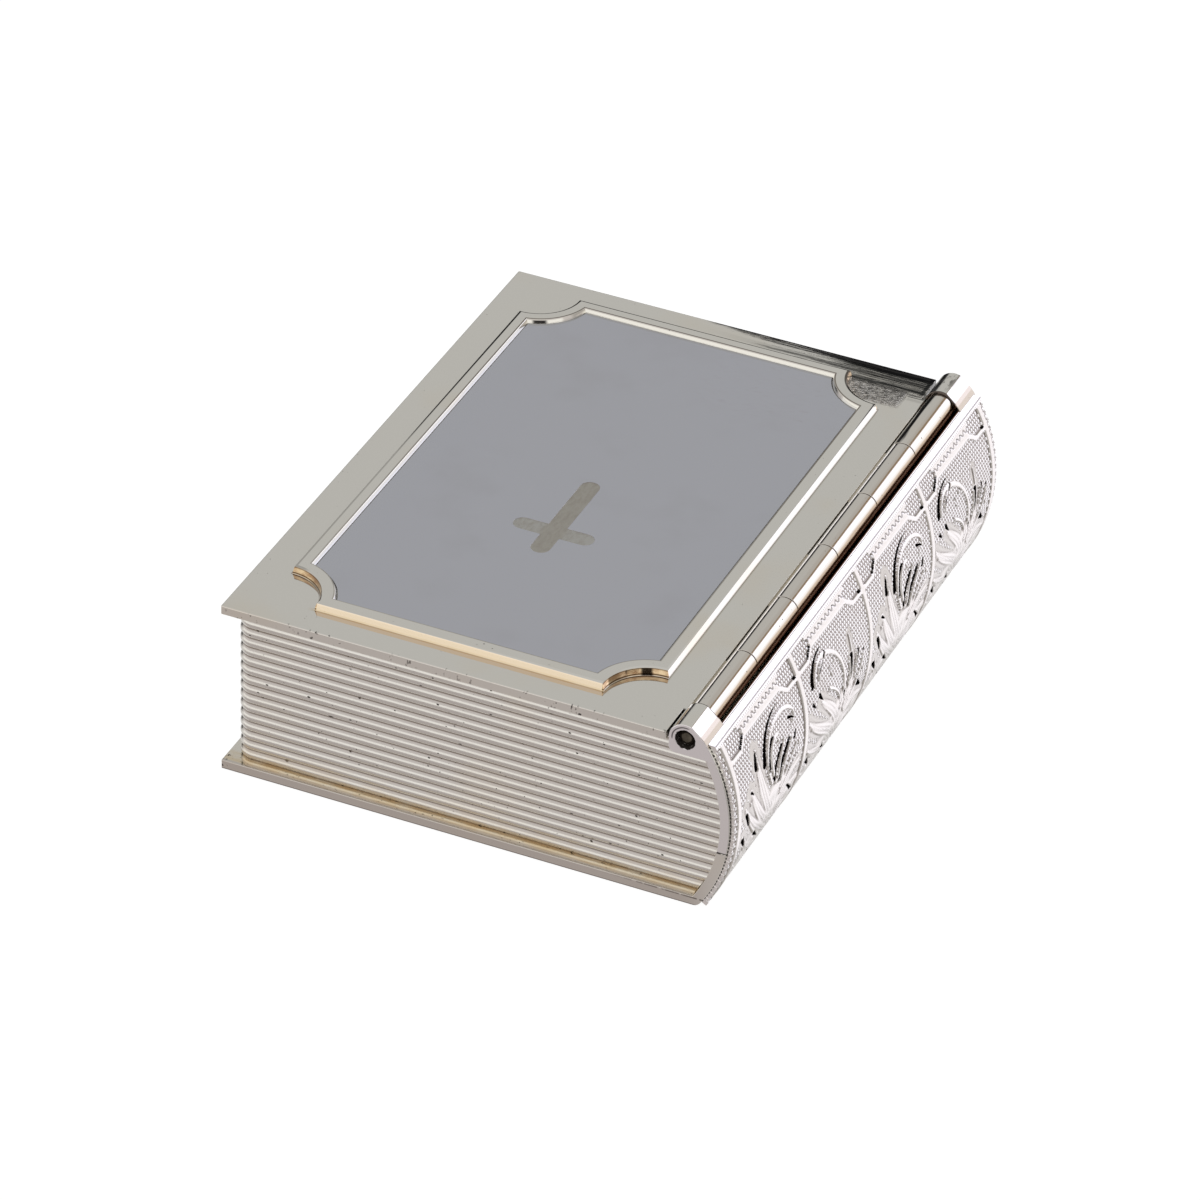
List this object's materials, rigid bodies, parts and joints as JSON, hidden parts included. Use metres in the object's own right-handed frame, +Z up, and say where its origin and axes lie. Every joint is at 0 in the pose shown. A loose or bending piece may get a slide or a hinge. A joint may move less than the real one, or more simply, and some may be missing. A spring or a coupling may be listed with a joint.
{
  "type": "rosary box",
  "caption": "Metal rosary box in the shape of a book lying on its back, with reeded pages, an embossed spine, a framed engraving plate on the hinged front cover and a velvet lining.",
  "frame": {"origin": "middle of the box's footprint, on the surface that the back cover lies on", "axes": "+Z up through the covers, +Y from the head of the book to its tail, +X from the fore-edge to the spine"},
  "size_m": [0.0592, 0.075, 0.0225],
  "materials": {
    "polished_plate": "polished silver plate with fine scratches and warm tarnish in the corners",
    "embossed_plate": "bright silver plate, blackened in the recesses of the relief",
    "engraving_metal": "satin, cool grey, bare for engraving",
    "hinge_metal": "plated and dulled",
    "velvet": "deep blue velvet on card"
  },
  "bodies": {
    "box": {"back_cover": "polished_plate", "page_block": "polished_plate", "spine_shell": "polished_plate", "spine_panel": "embossed_plate", "body_hinge_leaf": "hinge_metal", "hinge_pin": "hinge_metal", "floor_pad": "velvet", "head_lining": "velvet", "tail_lining": "velvet", "fore_edge_lining": "velvet", "spine_lining": "velvet"},
    "lid": {"front_cover": "polished_plate", "engraving_plate": "engraving_metal", "lid_hinge_leaf": "hinge_metal", "lid_pad": "velvet"}
  },
  "joints": [
    {"name": "lid_hinge", "type": "hinge", "parent": "box", "child": "lid", "pos_m": [0.02363, 0, 0.02065], "axis": [0, 1, 0], "range_deg": [0, 160]}
  ]
}
